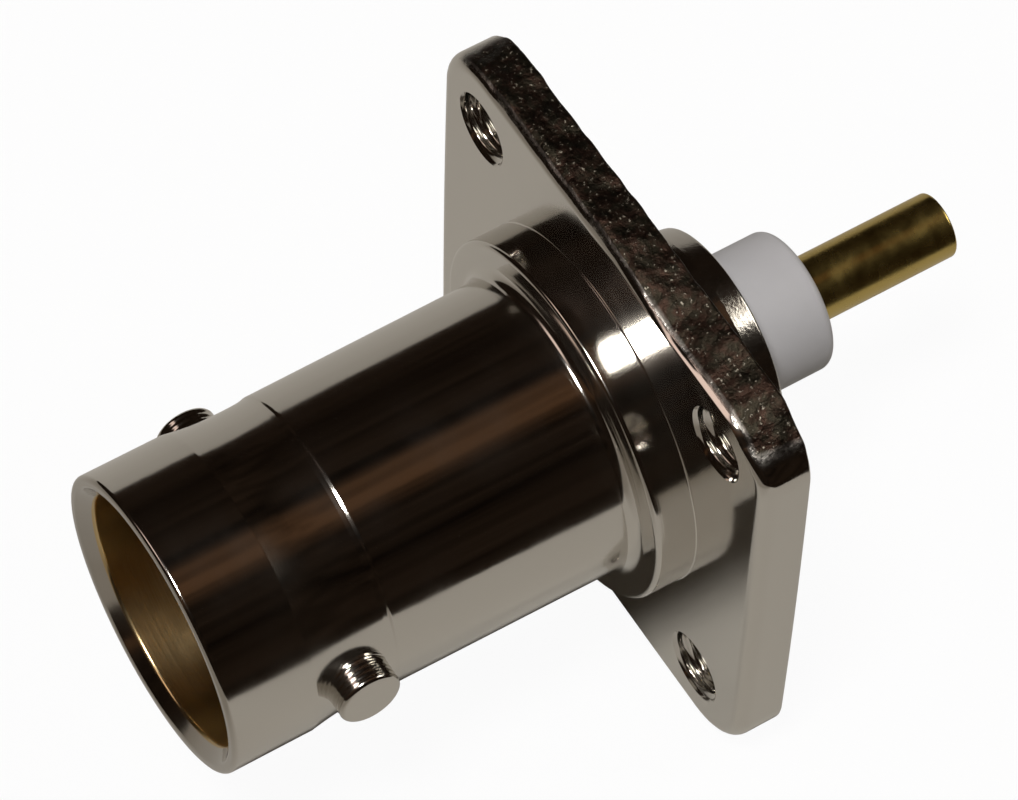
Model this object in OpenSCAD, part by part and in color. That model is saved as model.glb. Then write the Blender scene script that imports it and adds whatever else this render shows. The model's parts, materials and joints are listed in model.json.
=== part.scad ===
// Panel-mount BNC jack: a square-flange receptacle with a solder-pot contact.
// Every piece is drawn along Z, with z = 0 on the flange's mounting face and the
// mating end towards -Z. onAxis() then turns the mating end to face -Y.

/* [Mating sleeve] */
// Distance from the flange's front face to the mouth
sleeve_reach = 15; // [14:0.1:18]
// Outside diameter of the mating sleeve
sleeve_d = 9.65; // [9.5:0.05:10]
// Bore that takes the plug's outer contact
bore_d = 8.13; // [7.9:0.01:8.4]
// Depth from the mouth to the reference plane
bore_depth = 8.4; // [7.8:0.1:9]
// Lead-in chamfer inside the mouth
lip_chamfer = 0.4; // [0.1:0.05:0.5]
// Rounding outside the mouth
lip_round = 0.12; // [0.05:0.01:0.2]

/* [Bayonet lugs] */
// Diameter of a lug
lug_d = 2; // [1.8:0.05:2.3]
// Distance across the two lugs' ends
lug_span = 10.97; // [10.6:0.01:11.4]
// Distance from the mouth to the lugs' axis
lug_setback = 4.2; // [3.8:0.1:5]
// Bevel round the end of a lug
lug_bevel = 0.12; // [0.05:0.01:0.2]
// Length of the shallow waist that is cut round the lugs
waist_len = 2.75; // [2.5:0.05:3.2]
// Depth of the waist at its middle
waist_dip = 0.09; // [0.02:0.01:0.15]

/* [Barrel and collar] */
// Diameter of the barrel where it leaves the waist
barrel_front_d = 9.46; // [9.3:0.01:9.6]
// Diameter of the barrel where it meets the collar
barrel_rear_d = 9.58; // [9.4:0.01:9.8]
// Diameter of the collar that backs the flange
collar_d = 11.8; // [11:0.1:12.4]
// Height of the collar above the flange
collar_h = 1.35; // [0.8:0.05:2.5]
// Bevel on the collar's front edge
collar_bevel = 0.16; // [0.05:0.01:0.3]
// Radius of the fillet from the barrel into the collar
flare_r = 0.5; // [0.2:0.05:0.6]

/* [Flange] */
// Width of the square flange
flange_w = 17.6; // [17:0.1:20]
// Thickness of the flange
flange_t = 1.6; // [1.3:0.1:2.5]
// Radius of the flange's corners
corner_r = 2.3; // [1:0.1:3]
// Spacing of the fixing holes along both sides
hole_pitch = 12.7; // [12.4:0.1:13.2]
// Diameter of a tapped fixing hole over its thread
hole_d = 2.5; // [2:0.1:2.8]
// Countersink on each end of a fixing hole
hole_sink = 0.15; // [0.05:0.05:0.3]

/* [Rear boss] */
// Diameter of the boss behind the flange
boss_d = 7.5; // [6.8:0.1:8]
// Length of the boss behind the flange
boss_len = 3; // [2.4:0.1:4]
// Rounding of the boss's rear edge
boss_round = 0.25; // [0.1:0.05:0.5]
// Thickness of the wall that closes the shell behind the insulator
rear_wall = 3.5; // [3:0.1:4.2]

/* [Insulators] */
// Diameter of the insulator's nose inside the mouth
nose_d = 4.72; // [4.5:0.01:4.8]
// Length of the nose ahead of the reference plane
nose_len = 5.2; // [4.6:0.1:5.8]
// Diameter of the shell's core behind the front insulator
core_d = 7; // [6.6:0.1:7.2]
// Thickness of the front insulator's flange
stop_t = 1; // [0.9:0.1:1.5]
// Diameter of the insulator's tail
tail_d = 4.6; // [4.2:0.1:5]
// Reach of the tail beyond the boss
tail_reach = 2.75; // [2:0.05:3.5]
// Bevel on the tail's rear edge
tail_bevel = 0.2; // [0.05:0.05:0.3]

/* [Press ring] */
// Length of the ring that traps the insulators
ring_len = 1; // [0.8:0.1:1.4]
// Wall of the ring, which the plug's outer contact seats on
ring_wall = 0.56; // [0.4:0.02:0.7]
// Bevel inside the ring's front edge
ring_bevel = 0.1; // [0.05:0.01:0.2]

/* [Centre contact] */
// Outside diameter of the slotted socket
socket_d = 2.1; // [1.95:0.05:2.3]
// Bore of the socket
socket_bore_d = 1.35; // [1.3:0.01:1.4]
// Depth of the socket's bore
socket_depth = 4.5; // [4:0.1:5.5]
// Distance from the nose's end down to the socket
socket_setback = 0.15; // [0:0.05:0.4]
// Number of slots between the socket's fingers
slots = 4; // [2:1:4]
// Width of a slot
slot_w = 0.18; // [0.1:0.02:0.24]
// Length of a slot
slot_len = 3; // [2:0.1:3.8]
// Diameter of the shoulder that holds the contact
shoulder_d = 3; // [2.7:0.1:3.4]
// Thickness of the shoulder
shoulder_t = 0.7; // [0.5:0.05:0.8]
// Outside diameter of the shank and solder pot
pot_d = 2.15; // [2:0.05:2.4]
// Bore of the solder pot
pot_bore_d = 1.5; // [1.2:0.05:1.6]
// Depth of the solder pot
pot_depth = 3; // [2:0.1:4]
// Reach of the solder pot beyond the insulator's tail
pot_reach = 5.2; // [4.5:0.1:7]
// Bevel on the contact's edges
contact_bevel = 0.1; // [0.05:0.01:0.15]

/* [Fits] */
// Gap all round between a piece and the bore that holds it
fit_gap = 0.02; // [0.01:0.01:0.05]
// Gap round the socket that lets its fingers spread
finger_gap = 0.12; // [0.05:0.01:0.2]

/* [Hidden] */

face_fn = 128;      // smoothness of turned faces
detail_fn = 48;     // smoothness of small holes and pins
arc_steps = 8;      // straight steps in a rounded edge of a turned profile
overrun = 1;        // how far a cutting tool runs past a face

// Stations along the axis
z_front = -flange_t;
z_mouth = z_front - sleeve_reach;
z_collar = z_front - collar_h;
z_lug = z_mouth + lug_setback;
z_waist = z_lug - waist_len / 2;
z_barrel = z_lug + waist_len / 2;
z_ref = z_mouth + bore_depth;
z_nose = z_ref - nose_len;
z_ring = z_ref + ring_len;
z_split = z_ring + stop_t;
z_wall = boss_len - rear_wall;
z_tail = boss_len + tail_reach;
z_socket = z_nose + socket_setback;
z_pot = z_tail + pot_reach;

ring_bore_d = bore_d - 2 * ring_wall;

// Points of an arc about c from angle a to angle b, leaving out its first point
function arc(c, r, a, b) =
    [for (i = [1 : arc_steps]) let (t = a + (b - a) * i / arc_steps) c + r * [cos(t), sin(t)]];

// Radius of the waist at the fraction t of its length: a parabola that dips in the middle
function waist_r(t) =
    let (chord = sleeve_d / 2 + (barrel_front_d - sleeve_d) / 2 * t) chord - 4 * waist_dip * t * (1 - t);

// Turns a piece drawn along Z so that it lies along Y
module onAxis() {
    rotate([-90, 0, 0]) children();
}

// A straight hole or pin from station a to station b
module span(a, b, d, smooth = face_fn) {
    translate([0, 0, a]) cylinder(h = b - a, d = d, $fn = smooth);
}

// A cone from diameter d1 at station a to diameter d2 at station b
module taper(a, b, d1, d2, smooth = face_fn) {
    translate([0, 0, a]) cylinder(h = b - a, d1 = d1, d2 = d2, $fn = smooth);
}

// Repeats its children at the four fixing holes
module atHoles() {
    for (x = [-1, 1], y = [-1, 1])
        translate([x * hole_pitch / 2, y * hole_pitch / 2, 0]) children();
}

// Barrel, collar and boss as one turned form, solid inside
module turnedBody() {
    lip = sleeve_d / 2 - lip_round;
    root = barrel_rear_d / 2 + flare_r;
    edge = boss_d / 2 - boss_round;
    outline = concat(
        [[0, z_mouth], [lip, z_mouth]],
        arc([lip, z_mouth + lip_round], lip_round, -90, 0),
        [[sleeve_d / 2, z_waist]],
        [for (i = [1 : arc_steps]) [waist_r(i / arc_steps), z_waist + waist_len * i / arc_steps]],
        [[barrel_rear_d / 2, z_collar - flare_r]],
        arc([root, z_collar - flare_r], flare_r, 180, 90),
        [[collar_d / 2 - collar_bevel, z_collar],
         [collar_d / 2, z_collar + collar_bevel],
         [collar_d / 2, z_front + flange_t / 2],
         [boss_d / 2, z_front + flange_t / 2],
         [boss_d / 2, boss_len - boss_round]],
        arc([edge, boss_len - boss_round], boss_round, 0, 90),
        [[0, boss_len]]);
    rotate_extrude($fn = face_fn) polygon(outline);
}

// The square flange with its rounded corners
module flangePlate() {
    inset = flange_w / 2 - corner_r;
    difference() {
        translate([-flange_w / 2, -flange_w / 2, z_front]) cube([flange_w, flange_w, flange_t]);
        for (x = [0, 1], y = [0, 1]) mirror([x, 0, 0]) mirror([0, y, 0]) difference() {
            translate([inset, inset, z_front - overrun])
                cube([corner_r + overrun, corner_r + overrun, flange_t + 2 * overrun]);
            translate([inset, inset, 0]) span(z_front - overrun, overrun, 2 * corner_r, detail_fn);
        }
    }
}

// One lug, standing out along +X
module lug() {
    reach = lug_span / 2;
    translate([0, 0, z_lug]) rotate([0, 90, 0]) {
        span(bore_d / 2 + fit_gap, reach - lug_bevel, lug_d, detail_fn);
        taper(reach - lug_bevel, reach, lug_d, lug_d - 2 * lug_bevel, detail_fn);
    }
}

// Everything that is hollow inside the shell
module shellBores() {
    mouth_d = bore_d + 2 * lip_chamfer;
    span(z_mouth - overrun, z_split, bore_d);
    taper(z_mouth - lip_chamfer, z_mouth + lip_chamfer, mouth_d + 2 * lip_chamfer, bore_d);
    span(z_split - overrun, z_wall, core_d);
    span(z_wall - overrun, boss_len + overrun, tail_d + 2 * fit_gap);
}

// A fixing hole with a small countersink at each end
module fixingHole() {
    wide = hole_d + 2 * hole_sink;
    span(z_front - overrun, overrun, hole_d, detail_fn);
    taper(z_front - hole_sink, z_front + hole_sink, wide + 2 * hole_sink, hole_d, detail_fn);
    taper(-hole_sink, hole_sink, hole_d, wide + 2 * hole_sink, detail_fn);
}

// Die-cast shell: sleeve, lugs, barrel, collar, flange and boss in one piece
module shell() {
    color([0.72, 0.71, 0.68]) onAxis() difference() {
        union() {
            turnedBody();
            flangePlate();
            for (side = [0, 180]) rotate([0, 0, side]) lug();
        }
        shellBores();
        atHoles() fixingHole();
    }
}

// Turned ring pressed into the bore: it traps the insulators, and its front face is
// the seat for the plug's outer contact
module press_ring() {
    lead_d = ring_bore_d + 4 * ring_bevel;
    color([0.78, 0.77, 0.73]) onAxis() difference() {
        span(z_ref, z_ring, bore_d);
        span(z_ref - overrun, z_ring + overrun, ring_bore_d);
        taper(z_ref - ring_bevel, z_ref + ring_bevel, lead_d, ring_bore_d);
    }
}

// Front insulator: nose, body through the ring, and the flange that the ring holds back
module front_insulator() {
    pocket_d = shoulder_d + 2 * fit_gap;
    color([0.93, 0.93, 0.92]) onAxis() difference() {
        union() {
            span(z_nose, z_ref, nose_d);
            span(z_ref, z_ring, ring_bore_d - 2 * fit_gap);
            span(z_ring, z_split, bore_d - 2 * fit_gap);
        }
        span(z_nose - overrun, z_split + overrun, socket_d + 2 * finger_gap, detail_fn);
        span(z_split - shoulder_t - fit_gap, z_split + overrun, pocket_d, detail_fn);
    }
}

// Rear insulator: body inside the shell and the tail that stands out of the boss
module rear_insulator() {
    color([0.93, 0.93, 0.92]) onAxis() difference() {
        union() {
            span(z_split, z_wall, core_d - 2 * fit_gap);
            span(z_wall, z_tail - tail_bevel, tail_d);
            taper(z_tail - tail_bevel, z_tail, tail_d, tail_d - 2 * tail_bevel);
        }
        span(z_split - overrun, z_tail + overrun, pot_d + 2 * fit_gap, detail_fn);
    }
}

// Centre contact: slotted socket, shoulder, shank and solder pot turned from one rod
module centre_contact() {
    lead = contact_bevel;
    socket_mouth_d = socket_bore_d + 2 * lead;
    pot_mouth_d = pot_bore_d + 2 * lead;
    color([0.72, 0.58, 0.25]) onAxis() difference() {
        union() {
            taper(z_socket, z_socket + lead, socket_d - 2 * lead, socket_d, detail_fn);
            span(z_socket + lead, z_split - shoulder_t, socket_d, detail_fn);
            span(z_split - shoulder_t, z_split, shoulder_d, detail_fn);
            span(z_split, z_pot - lead, pot_d, detail_fn);
            taper(z_pot - lead, z_pot, pot_d, pot_d - 2 * lead, detail_fn);
        }
        span(z_socket - overrun, z_socket + socket_depth, socket_bore_d, detail_fn);
        taper(z_socket - lead, z_socket + lead, socket_mouth_d + 2 * lead, socket_bore_d, detail_fn);
        span(z_pot - pot_depth, z_pot + overrun, pot_bore_d, detail_fn);
        taper(z_pot - lead, z_pot + lead, pot_bore_d, pot_mouth_d + 2 * lead, detail_fn);
        for (i = [0 : slots - 1]) rotate([0, 0, 360 * i / slots])
            translate([0, -slot_w / 2, z_socket - overrun])
                cube([socket_d, slot_w, slot_len + overrun]);
    }
}

shell();
press_ring();
front_insulator();
rear_insulator();
centre_contact();
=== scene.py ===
import json
import math

import bmesh
import bpy
from mathutils import Matrix, Vector, noise


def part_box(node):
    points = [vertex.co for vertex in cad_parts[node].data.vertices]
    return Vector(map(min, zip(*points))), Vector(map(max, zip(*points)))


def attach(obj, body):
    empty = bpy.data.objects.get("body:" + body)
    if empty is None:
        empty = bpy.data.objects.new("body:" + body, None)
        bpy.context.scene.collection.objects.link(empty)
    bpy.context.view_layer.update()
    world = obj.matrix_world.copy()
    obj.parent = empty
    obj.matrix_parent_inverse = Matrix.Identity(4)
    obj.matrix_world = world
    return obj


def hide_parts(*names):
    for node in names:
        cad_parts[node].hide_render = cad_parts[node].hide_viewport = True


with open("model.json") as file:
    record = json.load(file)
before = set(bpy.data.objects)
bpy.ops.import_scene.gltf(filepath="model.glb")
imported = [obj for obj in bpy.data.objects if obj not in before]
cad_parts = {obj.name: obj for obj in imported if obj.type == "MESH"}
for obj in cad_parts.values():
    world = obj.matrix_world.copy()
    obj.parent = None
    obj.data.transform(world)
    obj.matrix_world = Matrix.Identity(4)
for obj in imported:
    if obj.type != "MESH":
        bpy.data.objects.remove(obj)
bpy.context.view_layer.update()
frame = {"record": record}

mm = 0.001
fullTurn = 2 * math.pi
crispFrom = 40      # degrees; a corner sharper than this stays crisp in the shading
allSmooth = 180


def clamp(value):
    return min(1, max(0, value))


# sRGB hex to the linear numbers that shaders take
def toLinear(hexText):
    values = [int(hexText[i:i + 2], 16) / 255 for i in (1, 3, 5)]
    return [v / 12.92 if v <= 0.04045 else ((v + 0.055) / 1.055) ** 2.4 for v in values] + [1.0]


# Camera

print("camera")
cameraSettings = {
    "azimuth": 56.774,      # degrees round from -Y towards +X
    "elevation": 57.504,    # degrees above the floor
    "roll": 1.964,          # degrees
    "distance": 157.16,     # mm from the flange's centre
    "slideRight": -3.76,    # mm
    "slideUp": -0.623,      # mm
    "lens": 185.91,         # mm
    "sensor": 36,           # mm
    "clip": (0.01, 20),     # m
}


def makeCamera(s):
    turn, lift, roll = (math.radians(s[k]) for k in ("azimuth", "elevation", "roll"))
    level = Vector((math.cos(turn), math.sin(turn), 0))
    back = Vector((math.sin(turn) * math.cos(lift), -math.cos(turn) * math.cos(lift),
                   math.sin(lift)))
    upright = back.cross(level)
    right = math.cos(roll) * level + math.sin(roll) * upright
    up = -math.sin(roll) * level + math.cos(roll) * upright
    place = (back * s["distance"] + right * s["slideRight"] + up * s["slideUp"]) * mm
    data = bpy.data.cameras.new("camera")
    data.lens = s["lens"]
    data.sensor_width = s["sensor"]
    data.clip_start, data.clip_end = s["clip"]
    camera = bpy.data.objects.new("camera", data)
    camera.matrix_world = Matrix((
        (right.x, up.x, back.x, place.x),
        (right.y, up.y, back.y, place.y),
        (right.z, up.z, back.z, place.z),
        (0, 0, 0, 1)))
    bpy.context.scene.collection.objects.link(camera)
    bpy.context.scene.camera = camera


makeCamera(cameraSettings)


# Meshes

# Points of an arc in a turned profile, each (radius, y) in mm, without its first point
def arc(centre, size, start, end, steps):
    points = []
    for i in range(1, steps + 1):
        angle = math.radians(start + (end - start) * i / steps)
        points.append((centre[0] + size * math.cos(angle), centre[1] + size * math.sin(angle)))
    return points


# Splits the long steps of a profile and holds each corner with a close ring
def refine(profile, longest, hold=0.02):
    points = [profile[0]]
    for (r0, y0), (r1, y1) in zip(profile, profile[1:]):
        span = math.hypot(r1 - r0, y1 - y0)
        shares = []
        if span > 6 * hold:
            count = max(1, math.ceil((span - 2 * hold) / longest))
            edge = hold / span
            shares = [edge + (1 - 2 * edge) * i / count for i in range(count + 1)]
        points += [(r0 + (r1 - r0) * t, y0 + (y1 - y0) * t) for t in shares + [1]]
    return points


# A ring of vertices about the Y axis, or one vertex where the radius is nothing
def addRing(bm, radius, y, segments, nothing=1e-6):
    if radius < nothing:
        return [bm.verts.new((0, y * mm, 0))]
    ring = []
    for i in range(segments):
        angle = fullTurn * i / segments
        across, up = radius * math.cos(angle), radius * math.sin(angle)
        ring.append(bm.verts.new((across * mm, y * mm, up * mm)))
    return ring


# Faces between two rings
def bridge(bm, first, second):
    count = max(len(first), len(second))
    for i in range(count):
        j = (i + 1) % count
        corners = [first[i % len(first)], first[j % len(first)],
                   second[j % len(second)], second[i % len(second)]]
        bm.faces.new(list(dict.fromkeys(corners)))      # each corner once


def turnProfile(bm, profile, segments, closed=False):
    rings = [addRing(bm, r, y, segments) for r, y in profile]
    for first, second in zip(rings, rings[1:]):
        bridge(bm, first, second)
    if closed:
        bridge(bm, rings[-1], rings[0])
    return rings


# Makes the object from a finished bmesh, with its faces outward
def finishPiece(name, bm, sharpAngle=crispFrom):
    bmesh.ops.recalc_face_normals(bm, faces=bm.faces)
    mesh = bpy.data.meshes.new(name)
    bm.to_mesh(mesh)
    bm.free()
    piece = bpy.data.objects.new(name, mesh)
    bpy.context.scene.collection.objects.link(piece)
    smoothPiece(piece, sharpAngle)
    return piece


# Smooth shading with sharp corners. Faces square to the Y axis stay truly flat
def smoothPiece(piece, sharpAngle=crispFrom, square=0.99999):
    piece.data.shade_smooth()
    piece.data.set_sharp_from_angle(angle=math.radians(sharpAngle))
    for face in piece.data.polygons:
        if abs(face.normal.y) > square:
            face.use_smooth = False


# Lets big faces rule the shading, so that flat and turned faces reflect cleanly
def weighNormals(piece):
    modifier = piece.modifiers.new("weightedNormals", "WEIGHTED_NORMAL")
    modifier.mode = "FACE_AREA"
    modifier.keep_sharp = True


# Cuts or joins a mesh with another closed mesh, which is then removed
def combine(piece, other, operation):
    modifier = piece.modifiers.new("combine", "BOOLEAN")
    modifier.object = other
    modifier.operation = operation
    modifier.solver = "EXACT"
    bpy.context.view_layer.update()
    graph = bpy.context.evaluated_depsgraph_get()
    mesh = bpy.data.meshes.new_from_object(piece.evaluated_get(graph))
    piece.modifiers.remove(modifier)
    piece.data = mesh
    bpy.data.objects.remove(other)


def placePiece(piece, node, slotName, *materials):
    for material in materials:
        piece.data.materials.append(material)
    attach(piece, "root")
    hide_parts(node)


# Materials

print("materials")
# Bright nickel plate over a zinc casting: a warm grey mirror, very slightly soft and
# unevenly polished, with faint turning marks round the axis
nickelPlate = {
    "colour": "#cdc9c2",
    "roughness": (0.08, 0.15),
    "hazeSize": 2.5,        # mm, size of the patches that are polished more or less
    "markPitch": 0.09,      # mm between turning marks, coarser than real so that they show
    "markDepth": 0.0006,    # mm
    "waveSize": 1.0,        # mm, size of the plate's ripple
    "waveDepth": 0.004,     # mm
}
# The same plate over an untouched casting face, with real grain and roughness. Its dark brown
# and olive pit colour is painted shade, and its small bright flecks are painted highlights
castPlate = {
    "colour": "#cdc9c2",    # where the face is smooth
    # painted shade in the grain's hollows, dark brown and olive
    "paintedShadeColours": ("#3a2c25", "#312d25"),
    # painted highlight where a grain would catch the light
    "paintedGlintColour": "#c4bcab",
    "paintedGlintFrom": (0.6, 0.74),       # height of the grain where a painted highlight starts and is full
    "roughness": (0.32, 0.52),
    "smoothRoughness": 0.1,
    "grainSize": 0.13,      # mm
    "grainDepth": 0.035,    # mm
    "grainRange": (0.35, 0.65),     # heights between which the roughness goes
    "tintSize": 0.35,       # mm
    "tintRange": (0.4, 0.6),
}
# The plate inside the bore: bored, not polished, so its mirror is blurred. Its golden colour is a
# painted warm reflection over the nickel
borePlate = {
    "colour": "#dcc291",
    "roughness": (0.16, 0.27),
    "hazeSize": 2.5,        # mm
    "markPitch": 0.12,      # mm
    "markDepth": 0.003,     # mm
    "waveSize": 1.5,        # mm
    "waveDepth": 0.01,      # mm
}
# Turned white PTFE: soft and waxy, a little light goes in, with fine tool marks
ptfeTurned = {
    "colours": ("#cbcbcf", "#c2c2c6"),
    "cloudSize": 1.5,       # mm
    "roughness": 0.5,
    "refraction": 1.35,
    "depth": 0.3,           # mm that light goes in
    "depthShare": 0.2,
    "markPitch": 0.12,      # mm
    "markDepth": 0.002,     # mm
}
# Thin gold plate on a turned copper alloy: a yellow, slightly soft mirror with turning marks
goldPlate = {
    "colour": "#c9b169",
    "roughness": (0.2, 0.32),
    "hazeSize": 0.8,        # mm
    "markPitch": 0.1,       # mm
    "markDepth": 0.0015,    # mm
}
hazeRange = (0.3, 0.7)      # what a noise mostly stays between


# Adds one node with its settings and its inputs, each a value or the output that feeds it
def addNode(tree, kind, settings=None, inputs=None):
    node = tree.nodes.new(kind)
    for key, value in (settings or {}).items():
        setattr(node, key, value)
    for key, value in (inputs or {}).items():
        if isinstance(value, bpy.types.NodeSocket):
            tree.links.new(value, node.inputs[key])
        else:
            node.inputs[key].default_value = value
    return node


def newMaterial(name):
    material = bpy.data.materials.new(name)
    material.use_nodes = True
    tree = material.node_tree
    tree.nodes.clear()
    return material, tree


def addPosition(tree):
    return addNode(tree, "ShaderNodeNewGeometry").outputs["Position"]


# Noise with features of about this size, in metres
def addNoise(tree, place, size, detail, roughness=0.5):
    return addNode(tree, "ShaderNodeTexNoise", None, {
        "Vector": place, "Scale": 1 / size, "Detail": detail, "Roughness": roughness}).outputs[0]


# One range turned into another, at an even pace or easing in and out
def addRange(tree, value, source, target=(0, 1), pace="LINEAR"):
    return addNode(tree, "ShaderNodeMapRange", {"interpolation_type": pace}, {
        "Value": value, "From Min": source[0], "From Max": source[1],
        "To Min": target[0], "To Max": target[1]}).outputs[0]


def addMath(tree, operation, *values):
    return addNode(tree, "ShaderNodeMath", {"operation": operation},
                   dict(enumerate(values))).outputs[0]


def addVectorMath(tree, operation, *values):
    return addNode(tree, "ShaderNodeVectorMath", {"operation": operation},
                   dict(enumerate(values)))


def mixColours(tree, share, first, second):
    return addNode(tree, "ShaderNodeMix", {"data_type": "RGBA"},
                   {"Factor": share, "A": first, "B": second}).outputs["Result"]


def addBump(tree, height, strength=1.0, distance=1.0):
    return addNode(tree, "ShaderNodeBump", None, {
        "Strength": strength, "Distance": distance, "Height": height}).outputs[0]


def addOutput(tree, surface):
    addNode(tree, "ShaderNodeOutputMaterial", None, {"Surface": surface})


# Turning marks: a height, in metres, that runs in rings round the Y axis
def ringHeight(tree, position, s):
    across = 60     # per metre, so that the rings are nearly whole
    place = addVectorMath(tree, "MULTIPLY", position, (across, 1 / (s["markPitch"] * mm), across))
    marks = addNoise(tree, place.outputs[0], size=1.0, detail=2.0, roughness=0.6)
    return addMath(tree, "MULTIPLY", marks, s["markDepth"] * mm)


# Polished or bored plate: turning marks, a ripple where it has one, and an uneven polish
def makePlate(name, s):
    material, tree = newMaterial(name)
    position = addPosition(tree)
    height = ringHeight(tree, position, s)
    if "waveSize" in s:
        ripple = addNoise(tree, position, s["waveSize"] * mm, detail=1.5)
        height = addMath(tree, "MULTIPLY_ADD", ripple, s["waveDepth"] * mm, height)
    haze = addNoise(tree, position, s["hazeSize"] * mm, detail=4.0)
    shader = addNode(tree, "ShaderNodeBsdfPrincipled", None, {
        "Base Color": toLinear(s["colour"]), "Metallic": 1.0,
        "Roughness": addRange(tree, haze, hazeRange, s["roughness"]),
        "Normal": addBump(tree, height)})
    addOutput(tree, shader.outputs[0])
    return material


# Plate that goes from smooth to cast as the mesh's castShare rises: rougher and grainier, and
# coloured with painted shade and painted highlights
def makeCastNickel(s):
    material, tree = newMaterial("castNickelPlate")
    position = addPosition(tree)
    share = addNode(tree, "ShaderNodeAttribute", {"attribute_name": "castShare"}).outputs["Fac"]
    grain = addNoise(tree, position, s["grainSize"] * mm, detail=5.0, roughness=0.6)
    depth = addMath(tree, "MULTIPLY", share, s["grainDepth"] * mm)
    grainRoughness = addRange(tree, grain, s["grainRange"], s["roughness"])
    roughness = addNode(tree, "ShaderNodeMix", None, {
        "Factor": share, "A": s["smoothRoughness"], "B": grainRoughness})
    tint = addNoise(tree, position, s["tintSize"] * mm, detail=3.0)
    # painted shade on the cast face, dark brown to olive, with painted highlights on the tops of
    # the grain
    brown, olive = (toLinear(colour) for colour in s["paintedShadeColours"])
    pitShade = mixColours(tree, addRange(tree, tint, s["tintRange"]), brown, olive)
    glintShare = addRange(tree, grain, s["paintedGlintFrom"], pace="SMOOTHSTEP")
    cast = mixColours(tree, glintShare, pitShade, toLinear(s["paintedGlintColour"]))
    shader = addNode(tree, "ShaderNodeBsdfPrincipled", None, {
        "Base Color": mixColours(tree, share, toLinear(s["colour"]), cast), "Metallic": 1.0,
        "Roughness": roughness.outputs[0],
        "Normal": addBump(tree, addMath(tree, "MULTIPLY", grain, depth))})
    addOutput(tree, shader.outputs[0])
    return material


def makePtfe(s):
    material, tree = newMaterial("turnedPtfe")
    position = addPosition(tree)
    cloud = addNoise(tree, position, s["cloudSize"] * mm, detail=3.0)
    first, second = (toLinear(colour) for colour in s["colours"])
    shader = addNode(tree, "ShaderNodeBsdfPrincipled", None, {
        "Base Color": mixColours(tree, cloud, first, second),
        "Roughness": s["roughness"], "IOR": s["refraction"],
        "Subsurface Weight": s["depthShare"], "Subsurface Radius": (1.0, 1.0, 1.0),
        "Subsurface Scale": s["depth"] * mm,
        "Normal": addBump(tree, ringHeight(tree, position, s))})
    addOutput(tree, shader.outputs[0])
    return material


nickel = makePlate("brightNickelPlate", nickelPlate)
boreNickel = makePlate("boredNickelPlate", borePlate)
castNickel = makeCastNickel(castPlate)
ptfe = makePtfe(ptfeTurned)
gold = makePlate("thinGoldPlate", goldPlate)


# Shell

print("shell")
shellSizes = {              # mm
    "segments": 208,
    "longest": 0.5,         # between the rings of the turned form
    "sleeveRadius": 4.825,
    "boreRadius": 4.065,
    "lipRound": 0.15,
    "lipChamfer": 0.4,
    "innerRound": 0.07,     # rounding at both edges of the chamfer in the mouth
    "outerCurve": ((1, 0), (0.35, 0.12), (-0.3, 0.55)),     # points of it, as shares of it
    "innerCurve": ((0.6, -0.5), (0.15, 0.2), (0, 1)),
    "waistStart": 2.82,     # behind the mouth
    "waistLength": 2.75,
    "waistDip": 0.085,
    "waistShare": 0.955,    # how much of its length the dip takes
    "waistStep": 0.035,     # small step at the waist's rear edge
    "stepEnd": 0.03,        # where the step ends, behind the waist
    "stepLength": 0.16,
    "stepRows": 8,          # rings over the step
    "waistRows": 20,        # and over the waist
    "barrelFront": 4.73,
    "barrelRear": 4.79,
    "flare": 0.36,
    "collarRadius": 5.9,
    "collarHeight": 1.35,
    "collarBevel": 0.14,
    "collarFoot": 0.04,     # fillet where the collar meets the flange
    "flangeThick": 1.6,
    "frontEdge": 0.46,      # rounding of the flange's front rim
    "rimAngles": (0, 1.5, 6, 14, 25, 37, 50, 63, 76, 90),   # degrees, the steps of that rounding
    "backEdge": 0.1,        # and of its back rim
    "edgeRows": 17,         # rows of faces between the two
    "backRows": 4,
    "flangeShift": 0.1,     # the casting sits a little to one side
    "cornerRadius": 2.3,
    "sideBow": 0.1,         # how far the sides fall back towards the corners
    "outlineStep": 0.075,   # between the points of the flange's outline
    "bossRadius": 3.75,
    "bossTaper": (0.75, 0.12),      # length and drop of the slight taper at its end
    "bossRound": 0.12,
    "bossCast": 0.14,       # share of the casting's roughness, and of its painted shade and highlights, left on the boss
    "bossCastFrom": 0.02,   # behind the flange
    "coreRadius": 3.5,
    "coreEnd": -6.2,
    "wallThick": 3.5,
    "tailRadius": 2.32,
}
castEdge = {                # the flange's upper edge: mm, and facings as parts of the normal
    "facing": (0.58, 0.2),  # how far up an edge faces where it starts to be rough, and over what
    "facingLean": 0.12,     # and more so towards +X
    "lumpSize": 0.9,
    "lumpHeight": 0.1,
    "lumpCentre": 0.3,
    "lumpNoise": (1.0, 2.0, 2),     # the fractal's increment, lacunarity and octaves
    "grainSize": 0.2,
    "grainHeight": 0.015,
    "grainNoise": (0.8, 2.1, 3),
    "grainOffset": 7,       # so that the grain and the lumps differ
    "roughFrom": 0.07,      # behind the front face, and as much more where it is worn
    "roughOver": 0.15,
    "roughRow": 3,          # the row of faces where the cast plate starts, later where worn
    "wornRows": 2,
    "wornDrop": 0.6,        # how far the edge falls away forwards near one upper corner
    "wornFrom": (0.5, 3.5),         # where along X that begins and is full
    "wornFacing": (0.3, 0.5),
    "wornRim": 0.9,         # share of the front rounding that is lost there
}
threadSizes = {             # mm, a 2.5 mm screw thread cut into the casting
    "radius": 1.16,
    "depth": 0.16,
    "pitch": 0.45,
    "crest": 1.3,           # more than 1 makes the crests narrower than the roots
    "fade": 0.12,           # over which the thread runs out at both ends
    "sink": 0.05,
    "segments": 56,
    "step": 0.025,
}
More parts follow.
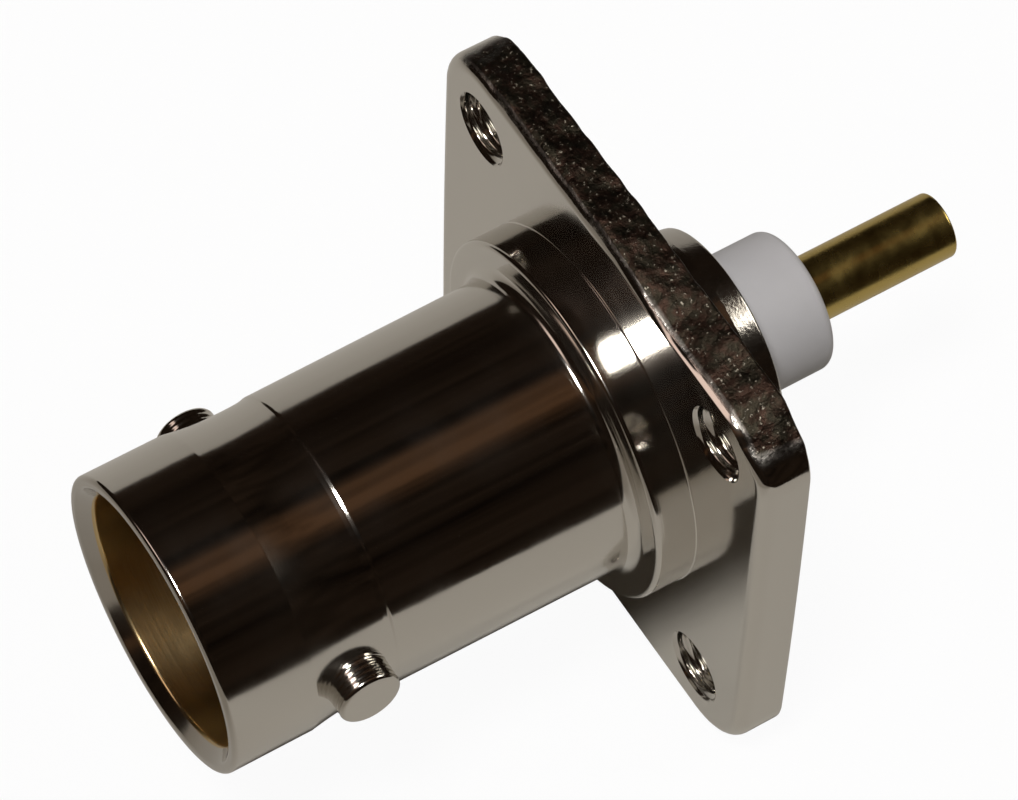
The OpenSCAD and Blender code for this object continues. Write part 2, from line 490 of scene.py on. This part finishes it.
lugSizes = {                # mm
    "radius": 1.0,
    "reach": 5.485,
    "bevel": 0.14,
    "rootFlare": 0.04,
    "rootSink": (0.2, 0.1),     # where it starts outside the bore, and under the waist
    "markPitch": 0.19,      # turned marks round the lug
    "markDepth": 0.007,
    "markSteps": 32,
    "turn": 2.0,            # degrees that the pair stands off the flange's level
    "segments": 96,
    "longest": 0.2,
}
castSlot, boreSlot = 1, 2   # places in the shell's list of materials

shellLow, shellHigh = (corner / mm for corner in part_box("shell"))
mouthY = shellLow.y
bossY = shellHigh.y
flangeHalf = shellHigh.x
holePlace = frame["record"]["mounts"][0]["dims"]["spacing_x_mm"] / 2


# The collar, the barrel with its flare, the waist and the sleeve, from rear to front
def outsideProfile(s):
    front = -s["flangeThick"]
    collarY = front - s["collarHeight"]
    foot, bevel = s["collarFoot"], s["collarBevel"]
    points = [(s["collarRadius"] + foot, front)]
    points += arc((s["collarRadius"] + foot, front - foot), foot, 90, 180, 4)
    points += [(s["collarRadius"], collarY + bevel)]
    points += arc((s["collarRadius"] - bevel, collarY + bevel), bevel, 0, -90, 5)
    root = s["barrelRear"] + s["flare"]
    points += [(root, collarY)]
    points += arc((root, collarY - s["flare"]), s["flare"], 90, 180, 14)
    waistY = mouthY + s["waistStart"]
    stepEnd = waistY + s["waistLength"] + s["stepEnd"]
    step = s["waistStep"]
    points += [(s["barrelFront"], stepEnd)]
    for i in range(1, s["stepRows"] + 1):
        a = math.pi * i / s["stepRows"]
        points.append((s["barrelFront"] - step * (1 - math.cos(a)) / 2,
                       stepEnd - s["stepLength"] * a / math.pi))
    for i in range(1, s["waistRows"] + 1):
        t = s["waistShare"] * (1 - i / s["waistRows"])
        chord = s["sleeveRadius"] + (s["barrelFront"] - step - s["sleeveRadius"]) * t
        points.append((chord - 4 * s["waistDip"] * t * (1 - t), waistY + s["waistLength"] * t))
    lip = s["lipRound"]
    points += [(s["sleeveRadius"], mouthY + lip)]
    points += arc((s["sleeveRadius"] - lip, mouthY + lip), lip, 0, -90, 5)
    return points


# The chamfer in the mouth and the bores, from front to rear
def insideProfile(s):
    around = s["innerRound"]
    outer, inner = s["boreRadius"] + s["lipChamfer"], mouthY + s["lipChamfer"]
    wallY = bossY - s["wallThick"]
    points = [(outer + a * around, mouthY + b * around) for a, b in s["outerCurve"]]
    points += [(s["boreRadius"] + a * around, inner + b * around) for a, b in s["innerCurve"]]
    points += [(s["boreRadius"], s["coreEnd"]), (s["coreRadius"], s["coreEnd"])]
    points += [(s["coreRadius"], wallY), (s["tailRadius"], wallY), (s["tailRadius"], bossY)]
    return points


# The boss, from its end to its foot
def bossProfile(s):
    length, drop = s["bossTaper"]
    middle = s["bossRadius"] - drop - s["bossRound"]
    points = [(middle, bossY)]
    points += arc((middle, bossY - s["bossRound"]), s["bossRound"], 90, 8, 5)
    points += [(s["bossRadius"], bossY - length), (s["bossRadius"], 0)]
    return points


# Outline of the flange: (x, z, outward x, outward z), evenly spaced, sides slightly bowed
def flangeOutline(s):
    corner, spacing = s["cornerRadius"], s["outlineStep"]
    inset = flangeHalf - corner
    side = []
    count = math.ceil(2 * inset / spacing)
    for i in range(count):
        side.append((flangeHalf, -inset + 2 * inset * i / count, 1, 0))
    count = math.ceil(corner * math.pi / 2 / spacing)
    for i in range(count):
        angle = math.pi / 2 * i / count
        c, d = math.cos(angle), math.sin(angle)
        side.append((inset + corner * c, inset + corner * d, c, d))
    fall = s["sideBow"] / flangeHalf ** 2
    outline = []
    for quarter in range(4):
        turn = quarter * math.pi / 2
        c, d = math.cos(turn), math.sin(turn)
        for x, z, u, w in side:
            x, z, u, w = x * c - z * d, x * d + z * c, u * c - w * d, u * d + w * c
            outline.append((x - x / flangeHalf * fall * z * z,
                            z - z / flangeHalf * fall * x * x, u, w))
    return outline


# How rough the flange's edge is for the way it faces, which also sets its share of painted shade
# and highlights: the upper edge was never machined
def castShare(outX, outZ, e):
    start, over = e["facing"]
    return clamp((outZ - start + e["facingLean"] * outX) / over)


# How far the rough upper edge stands in or out, in mm
def castHeight(x, y, z, share, e):
    if share == 0:
        return 0
    lumps = noise.fractal(Vector((x, y, z)) / e["lumpSize"], *e["lumpNoise"])
    grain = noise.fractal(Vector((x, y, z + e["grainOffset"])) / e["grainSize"], *e["grainNoise"])
    return share * (e["lumpHeight"] * (lumps - e["lumpCentre"]) + e["grainHeight"] * grain)


# The rows of the flange's rim: share of the front rounding, inset at the back, y
def rimRows(s):
    edge, heel, front = s["frontEdge"], s["backEdge"], -s["flangeThick"]
    rows = []
    for a in map(math.radians, s["rimAngles"]):
        rows.append((1 - math.sin(a), 0, front + edge * (1 - math.cos(a))))
    span = s["flangeThick"] - edge - heel
    for i in range(1, s["edgeRows"] + 1):
        rows.append((0, 0, front + edge + span * i / s["edgeRows"]))
    for i in range(1, s["backRows"] + 1):
        a = math.pi / 2 * i / s["backRows"]
        rows.append((0, heel * (1 - math.cos(a)), -heel + heel * math.sin(a)))
    return rows


# The flange's rim from its front face to its back face. Returns the first and last loops
# and the faces of the rough edge
def addFlangeRim(bm, s, e):
    front, thick = -s["flangeThick"], s["flangeThick"]
    outline = flangeOutline(s)
    wornStart, wornFull = e["wornFrom"]
    facing, over = e["wornFacing"]
    worn = [clamp((x - wornStart) / (wornFull - wornStart)) * clamp((w - facing) / over)
            for x, z, u, w in outline]
    cast = [castShare(u, w, e) for x, z, u, w in outline]
    castLayer = bm.verts.layers.float["castShare"]
    loops = []
    for rounding, inset, y in rimRows(s):
        loop = []
        for (x, z, u, w), near, share in zip(outline, worn, cast):
            rough = clamp((y - front - e["roughFrom"] - e["roughFrom"] * near) / e["roughOver"])
            drop = e["wornDrop"] * near * (front - y + thick) / thick
            depth = rounding * s["frontEdge"] * (1 - e["wornRim"] * near) + drop + inset
            depth -= castHeight(x, y, z, share, e) * rough
            across, up = x + s["flangeShift"] - u * depth, z - w * depth
            loop.append(bm.verts.new((across * mm, y * mm, up * mm)))
            loop[-1][castLayer] = share * rough
        loops.append(loop)
    roughFaces = []
    for row, (first, second) in enumerate(zip(loops, loops[1:])):
        start = len(bm.faces)
        bridge(bm, first, second)
        bm.faces.ensure_lookup_table()
        for i, (near, share) in enumerate(zip(worn, cast)):
            if row > e["roughRow"] + e["wornRows"] * near and share > 0:
                roughFaces.append(bm.faces[start + i])
    return loops[0], loops[-1], roughFaces


# One tapped hole: a sunk mouth at each end and a real helical ridge between them
def addThread(bm, centreX, centreZ, thick, t):
    front, sink = -thick, t["sink"]
    span = thick - 2 * sink
    steps = round(span / t["step"])
    heights = [front, front + sink / 2, front + sink]
    heights += [front + sink + span * i / steps for i in range(1, steps)]
    heights += [-sink, -sink / 2, 0]
    loops = []
    for y in heights:
        fromEnd = min(y - front, -y)
        wide = t["radius"] + max(0, sink - fromEnd)
        fade = clamp((fromEnd - sink) / t["fade"])
        loop = []
        for i in range(t["segments"]):
            angle = fullTurn * i / t["segments"]
            phase = fullTurn * (y / t["pitch"]) - angle
            ridge = (0.5 + 0.5 * math.cos(phase)) ** t["crest"]
            radius = wide - t["depth"] * fade * ridge
            across, up = centreX + radius * math.cos(angle), centreZ + radius * math.sin(angle)
            loop.append(bm.verts.new((across * mm, y * mm, up * mm)))
        loops.append(loop)
    for first, second in zip(loops, loops[1:]):
        bridge(bm, first, second)
    return loops[0], loops[-1]


# Closes a flat face between an outer loop and the loops inside it
def fillFlat(bm, loops):
    edges = []
    for loop in loops:
        for a, b in zip(loop, loop[1:] + loop[:1]):
            edges.append(bm.edges.get((a, b)) or bm.edges.new((a, b)))
    bmesh.ops.triangle_fill(bm, use_beauty=True, use_dissolve=False, edges=edges)


def buildShell(s):
    bm = bmesh.new()
    castLayer = bm.verts.layers.float.new("castShare")
    profile = refine(outsideProfile(s) + insideProfile(s) + bossProfile(s), s["longest"])
    rings = turnProfile(bm, profile, s["segments"])
    frontLoop, backLoop, roughFaces = addFlangeRim(bm, s, castEdge)
    for face in roughFaces:
        face.material_index = castSlot
    slack = 0.05    # mm
    for face in bm.faces:
        middle = face.calc_center_median() / mm
        radius = math.hypot(middle.x, middle.z)
        if radius < s["boreRadius"] + slack and middle.y < s["coreEnd"] + 2 * slack:
            face.material_index = boreSlot
        elif middle.y > s["bossCastFrom"] and radius > s["coreRadius"]:
            face.material_index = castSlot
            for corner in face.verts:
                corner[castLayer] = s["bossCast"]
    holes = [addThread(bm, x * holePlace, z * holePlace, s["flangeThick"], threadSizes)
             for x in (-1, 1) for z in (-1, 1)]
    fillFlat(bm, [frontLoop, rings[0]] + [hole[0] for hole in holes])
    fillFlat(bm, [backLoop, rings[-1]] + [hole[1] for hole in holes])
    return finishPiece("shellCasting", bm)


# A lug about the Y axis, then turned to stand along X
def buildLug(side, s, t):
    fromBore, underWaist = t["rootSink"]
    start = s["boreRadius"] + fromBore
    surface = s["sleeveRadius"] - s["waistDip"] - underWaist
    flare, bevel = t["rootFlare"], t["bevel"]
    root = t["radius"] + flare
    profile = [(0, start), (root, start), (root, surface)]
    profile += arc((root, surface + flare), flare, -90, -180, 5)
    foot, top = surface + flare, t["reach"] - bevel
    for i in range(1, t["markSteps"] + 1):
        height = foot + (top - foot) * i / t["markSteps"]
        mark = 1 - math.cos(fullTurn * (top - height) / t["markPitch"])
        profile.append((t["radius"] - t["markDepth"] * mark, height))
    profile += arc((t["radius"] - bevel, top), bevel, 0, 90, 6)
    profile += [(0, t["reach"])]
    bm = bmesh.new()
    turnProfile(bm, refine(profile, t["longest"]), t["segments"])
    lugY = mouthY + s["waistStart"] + s["waistLength"] / 2
    lean = Matrix.Rotation(-math.radians(t["turn"]), 4, "Y")
    upright = Matrix.Rotation(-side * math.pi / 2, 4, "Z")
    stand = Matrix.Translation((0, lugY * mm, 0)) @ lean @ upright
    bmesh.ops.transform(bm, matrix=stand, verts=bm.verts)
    return finishPiece("lug", bm)


shellPiece = buildShell(shellSizes)
for material in (nickel, castNickel, boreNickel):
    shellPiece.data.materials.append(material)
for side in (-1, 1):
    combine(shellPiece, buildLug(side, shellSizes, lugSizes), "UNION")
smoothPiece(shellPiece)
weighNormals(shellPiece)
placePiece(shellPiece, "shell", "nickel_plate")


# Turned pieces inside and behind the shell

print("turned pieces")
innerSizes = {              # mm
    "segments": 128,
    "longest": 0.4,         # between the rings of the turned forms
    "seatY": -8.2,
    "ringLength": 1.0,
    "ringBore": 3.505,
    "ringBevel": 0.1,
    "noseY": -13.4,
    "noseRadius": 2.36,
    "noseBevel": 0.12,
    "bodyGap": 0.02,
    "boreGap": 0.12,
    "shoulderRadius": 1.5,
    "shoulderY": -6.9,
    "splitY": -6.2,
    "wallY": -0.5,
    "tailRadius": 2.3,
    "tailRound": 0.34,
}
contactSizes = {            # mm
    "segments": 96,
    "socketY": -13.25,
    "socketRadius": 1.05,
    "socketBore": 0.675,
    "socketDepth": 4.5,
    "slotWidth": 0.18,
    "slotLength": 3.0,
    "slotOver": 1,          # how far the cutter starts in front of the socket
    "potRadius": 1.075,
    "potBore": 0.75,
    "potDepth": 3.0,
    "drillTip": 0.3,        # cone at the end of both bores
    "bevel": 0.1,
}

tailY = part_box("rear_insulator")[1].y / mm
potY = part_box("centre_contact")[1].y / mm


def buildTurned(name, profile, segments, closed=True):
    longest = innerSizes["longest"]
    if closed:
        profile = refine(profile + profile[:1], longest)[:-1]
    else:
        profile = refine(profile, longest)
    bm = bmesh.new()
    turnProfile(bm, profile, segments, closed)
    return finishPiece(name, bm)


def ringProfile(s):
    outer, inner, bevel = shellSizes["boreRadius"], s["ringBore"], s["ringBevel"]
    front, back = s["seatY"], s["seatY"] + s["ringLength"]
    return [(outer, front), (outer, back), (inner, back), (inner, front + bevel),
            (inner + bevel, front)]


def frontInsulatorProfile(s):
    hole = contactSizes["socketRadius"] + s["boreGap"]
    pocket = s["shoulderRadius"] + s["bodyGap"]
    pocketY = s["shoulderY"] - s["bodyGap"]
    neck = s["ringBore"] - s["bodyGap"]
    outer = shellSizes["boreRadius"] - s["bodyGap"]
    stepY = s["seatY"] + s["ringLength"]
    bevel = s["noseBevel"]
    points = [(hole, s["noseY"]), (s["noseRadius"] - bevel, s["noseY"])]
    points += arc((s["noseRadius"] - bevel, s["noseY"] + bevel), bevel, -90, 0, 5)
    points += [(s["noseRadius"], s["seatY"]), (neck, s["seatY"]), (neck, stepY)]
    points += [(outer, stepY), (outer, s["splitY"]), (pocket, s["splitY"])]
    points += [(pocket, pocketY), (hole, pocketY)]
    return points


def rearInsulatorProfile(s):
    hole = contactSizes["potRadius"] + s["bodyGap"]
    core = shellSizes["coreRadius"] - s["bodyGap"]
    tail, edge = s["tailRadius"], s["tailRound"]
    points = [(hole, s["splitY"]), (core, s["splitY"]), (core, s["wallY"]), (tail, s["wallY"])]
    points += [(tail, tailY - edge)]
    points += arc((tail - edge, tailY - edge), edge, 0, 90, 7)
    points += [(hole, tailY)]
    return points


def contactProfile(t, s):
    bevel, tip = t["bevel"], t["drillTip"]
    bore, socket, socketY = t["socketBore"], t["socketRadius"], t["socketY"]
    boreEnd = socketY + t["socketDepth"]
    points = [(0, boreEnd + tip), (bore, boreEnd), (bore, socketY + bevel)]
    points += [(bore + bevel, socketY), (socket - bevel, socketY)]
    points += arc((socket - bevel, socketY + bevel), bevel, -90, 0, 5)
    points += [(socket, s["shoulderY"]), (s["shoulderRadius"], s["shoulderY"])]
    pot, potBore = t["potRadius"], t["potBore"]
    points += [(s["shoulderRadius"], s["splitY"]), (pot, s["splitY"]), (pot, potY - bevel)]
    points += arc((pot - bevel, potY - bevel), bevel, 0, 90, 5)
    points += [(potBore + bevel, potY), (potBore, potY - bevel)]
    points += [(potBore, potY - t["potDepth"]), (0, potY - t["potDepth"] - tip)]
    return points


# A thin block that cuts one slot right across the socket
def slotCutter(turn, t):
    over, length = t["slotOver"], t["slotLength"]
    size = (4 * t["socketRadius"] * mm, (length + over) * mm, t["slotWidth"] * mm)
    place = Vector((0, (t["socketY"] + (length - over) / 2) * mm, 0))
    stretch = Matrix.Translation(place) @ Matrix.Diagonal((*size, 1))
    bm = bmesh.new()
    bmesh.ops.create_cube(bm, size=1)
    bmesh.ops.transform(bm, matrix=stretch, verts=bm.verts)
    bmesh.ops.transform(bm, matrix=Matrix.Rotation(turn, 4, "Y"), verts=bm.verts)
    return finishPiece("slotCutter", bm)


segments = innerSizes["segments"]
ringPiece = buildTurned("pressRing", ringProfile(innerSizes), segments)
frontPiece = buildTurned("frontInsulator", frontInsulatorProfile(innerSizes), segments)
rearPiece = buildTurned("rearInsulator", rearInsulatorProfile(innerSizes), segments)
contactPiece = buildTurned("centreContact", contactProfile(contactSizes, innerSizes),
                           contactSizes["segments"], False)
for turn in (0, math.pi / 2):
    combine(contactPiece, slotCutter(turn, contactSizes), "DIFFERENCE")
smoothPiece(contactPiece)
for piece in (ringPiece, frontPiece, rearPiece, contactPiece):
    weighNormals(piece)
placePiece(ringPiece, "press_ring", "nickel_ring", nickel)
placePiece(frontPiece, "front_insulator", "ptfe", ptfe)
placePiece(rearPiece, "rear_insulator", "ptfe", ptfe)
placePiece(contactPiece, "centre_contact", "gold_plate", gold)


# Studio

print("studio")
paperSizes = {              # metres; the metal mirrors it, the camera looks through it
    "colour": "#cac8c3",
    "farColour": "#9f9a92",     # where it falls into shade, further in front
    "shade": (-0.012, -0.032),  # from here to here along Y
    "drop": 0.00002,            # under the object
    "reach": 0.3,
    "end": (0.05, 1.57),        # it stops close to the object on the +X side, cut at a slant
    "rise": (0.1, 1.6),         # it sweeps up from this far out on the -X side, this steeply
    "left": 0.055,              # in front of the flange it stops this far out
    "widen": (-0.012, 0.016),   # where along Y it starts to reach further, and over what
    "rows": (0.004, 0.012, 0.025, 0.05, 0.1, 0.3),      # both ways along Y
    "columns": 24,
    "narrowest": 0.02,
    "roughness": 0.9,
    "shine": 0.1,
    "fibre": 900.0,             # per metre
    "fibreBump": (0.05, 0.0002),    # strength and height
}
sheetSizes = {              # the clear sheet that carries the shadow
    "drop": 0.00005,            # metres under the object
    "reach": 3,                 # metres
    "squares": 8,               # along each side
    "milk": 0.045,              # share of white in it
    "colour": "#f4f4f4",
}
hoodSizes = {               # metres, unless noted
    "radius": 1.0,
    "segments": (64, 48),
    # the hood glows with these colours: painted light and shade, it is not lit
    "colour": "#241b14",
    "bandColour": "#533b28",    # warm strip overhead, a painted glow
    "bandAngle": (58, 97),      # degrees
    "bandCore": 0.2,            # share of its width that is full
    "foldStretch": (9, 1.2, 9),     # folds per metre
    "foldRange": (0.35, 0.7),       # of the noise that makes them
    "foldGlowRange": (0.2, 1.3),        # how dim and how bright the folds glow: painted shade and light
    "glowColour": "#ffe4d8",    # a soft patch of light that the rims catch
    "glowStrength": 1.2,
    "glowCentre": (-0.35, -0.52, 0.76),
    "glowReach": (0.42, 0.18, 0.5),
    "glowCore": 0.3,
}
lamps = (                   # metres and watts
    {"name": "keyLamp", "from": (0.15, -0.3, 0.94), "away": 0.7, "size": 0.15,
     "power": 2.95, "colour": "#fffdfa"},
    {"name": "rearLamp", "from": (0.2, 0.8, 0.56), "away": 0.7, "size": 0.28,
     "power": 1.1, "colour": "#fffaf0"},
)


# The paper under the object, with a low sweep
def makePaper(s):
    bm = bmesh.new()
    low = shellLow.z * mm - s["drop"]
    end, slant = s["end"]
    rise, steepness = s["rise"]
    widenFrom, widenOver = s["widen"]
    loops = []
    for y in [-row for row in reversed(s["rows"])] + list(s["rows"]):
        left = -s["left"] - (s["reach"] - s["left"]) * clamp((y - widenFrom) / widenOver)
        right = max(left + s["narrowest"], min(s["reach"], end - slant * y))
        row = [right + (left - right) * i / s["columns"] for i in range(s["columns"] + 1)]
        loops.append([bm.verts.new((x, y, low + steepness * max(0, -x - rise) ** 2)) for x in row])
    for first, second in zip(loops, loops[1:]):
        for i in range(s["columns"]):
            bm.faces.new((first[i], first[i + 1], second[i + 1], second[i]))
    paper = finishPiece("paper", bm, allSmooth)
    material, tree = newMaterial("palePaper")
    position = addPosition(tree)
    fibre = addNoise(tree, position, 1 / s["fibre"], detail=3.0)
    along = addNode(tree, "ShaderNodeSeparateXYZ", None, {"Vector": position}).outputs["Y"]
    shade = addRange(tree, along, s["shade"])
    colour = mixColours(tree, shade, toLinear(s["colour"]), toLinear(s["farColour"]))
    shader = addNode(tree, "ShaderNodeBsdfPrincipled", None, {
        "Base Color": colour, "Roughness": s["roughness"], "Specular IOR Level": s["shine"],
        "Normal": addBump(tree, fibre, *s["fibreBump"])})
    addOutput(tree, shader.outputs[0])
    paper.data.materials.append(material)
    paper.visible_camera = False
    paper.visible_shadow = False


# The floor that the camera sees: a clear sheet with a little milk in it, which takes the
# object's shadow, over the white of the sky
def makeFloor(s):
    bm = bmesh.new()
    bmesh.ops.create_grid(bm, x_segments=s["squares"], y_segments=s["squares"], size=s["reach"])
    bmesh.ops.translate(bm, verts=bm.verts, vec=(0, 0, shellLow.z * mm - s["drop"]))
    floor = finishPiece("floor", bm)
    material, tree = newMaterial("milkySheet")
    clear = addNode(tree, "ShaderNodeBsdfTransparent")
    milk = addNode(tree, "ShaderNodeBsdfDiffuse", None, {"Color": toLinear(s["colour"])})
    mixed = addNode(tree, "ShaderNodeMixShader", None, {
        0: s["milk"], 1: clear.outputs[0], 2: milk.outputs[0]})
    addOutput(tree, mixed.outputs[0])
    floor.data.materials.append(material)
    floor.visible_glossy = False
    floor.visible_diffuse = False


# A dark hood round the object, so that a mirror-like part has something dark to mirror. It is not
# lit
# but glows with painted light and shade: dim folds, a warm strip and a soft patch. The camera
# looks through it; the metal sees it
def makeHood(s):
    bm = bmesh.new()
    around, up = s["segments"]
    bmesh.ops.create_uvsphere(bm, u_segments=around, v_segments=up, radius=s["radius"])
    hood = finishPiece("darkHood", bm, allSmooth)
    material, tree = newMaterial("glowingHood")
    position = addPosition(tree)
    parts = addNode(tree, "ShaderNodeSeparateXYZ", None, {"Vector": position})
    angle = addMath(tree, "ARCTAN2", parts.outputs["Z"], parts.outputs["X"])
    low, high = (math.radians(a) for a in s["bandAngle"])
    middle, half = (low + high) / 2, (high - low) / 2
    away = addMath(tree, "ABSOLUTE", addMath(tree, "SUBTRACT", angle, middle))
    strip = addRange(tree, away, (half * s["bandCore"], half), (1, 0), "SMOOTHSTEP")
    # painted light and shade in the glow: a warm strip, and folds that glow dimmer and brighter
    stretched = addVectorMath(tree, "MULTIPLY", position, s["foldStretch"]).outputs[0]
    creases = addNoise(tree, stretched, size=1.0, detail=5.0, roughness=0.7)
    folds = addRange(tree, creases, s["foldRange"], s["foldGlowRange"])
    hoodGlowColour = mixColours(tree, strip, toLinear(s["colour"]), toLinear(s["bandColour"]))
    dark = addNode(tree, "ShaderNodeEmission", None, {"Color": hoodGlowColour, "Strength": folds})
    fromGlow = addVectorMath(tree, "SUBTRACT", position, s["glowCentre"]).outputs[0]
    scaled = addVectorMath(tree, "DIVIDE", fromGlow, s["glowReach"]).outputs[0]
    gap = addVectorMath(tree, "LENGTH", scaled).outputs["Value"]
    spread = addRange(tree, gap, (s["glowCore"], 1), (1, 0), "SMOOTHSTEP")
    glow = addNode(tree, "ShaderNodeEmission", None, {
        "Color": toLinear(s["glowColour"]), "Strength": s["glowStrength"]})
    mixed = addNode(tree, "ShaderNodeMixShader", None, {
        0: spread, 1: dark.outputs[0], 2: glow.outputs[0]})
    addOutput(tree, mixed.outputs[0])
    hood.data.materials.append(material)
    hood.visible_camera = False


def makeLamp(s):
    data = bpy.data.lights.new(s["name"], "AREA")
    data.shape = "SQUARE"
    data.size = s["size"]
    data.energy = s["power"]
    data.color = toLinear(s["colour"])[:3]
    lamp = bpy.data.objects.new(s["name"], data)
    place = Vector(s["from"]).normalized() * s["away"]
    lamp.location = place
    lamp.rotation_euler = (-place).to_track_quat("-Z", "Y").to_euler()
    bpy.context.scene.collection.objects.link(lamp)


def makeSky():
    world = bpy.data.worlds.new("whiteSky")
    world.use_nodes = True
    tree = world.node_tree
    tree.nodes.clear()
    sky = addNode(tree, "ShaderNodeBackground", None, {"Color": (1, 1, 1, 1), "Strength": 1.0})
    addNode(tree, "ShaderNodeOutputWorld", None, {"Surface": sky.outputs[0]})
    bpy.context.scene.world = world


makePaper(paperSizes)
makeFloor(sheetSizes)
makeHood(hoodSizes)
for lamp in lamps:
    makeLamp(lamp)
makeSky()
bpy.context.scene.view_settings.view_transform = "Standard"
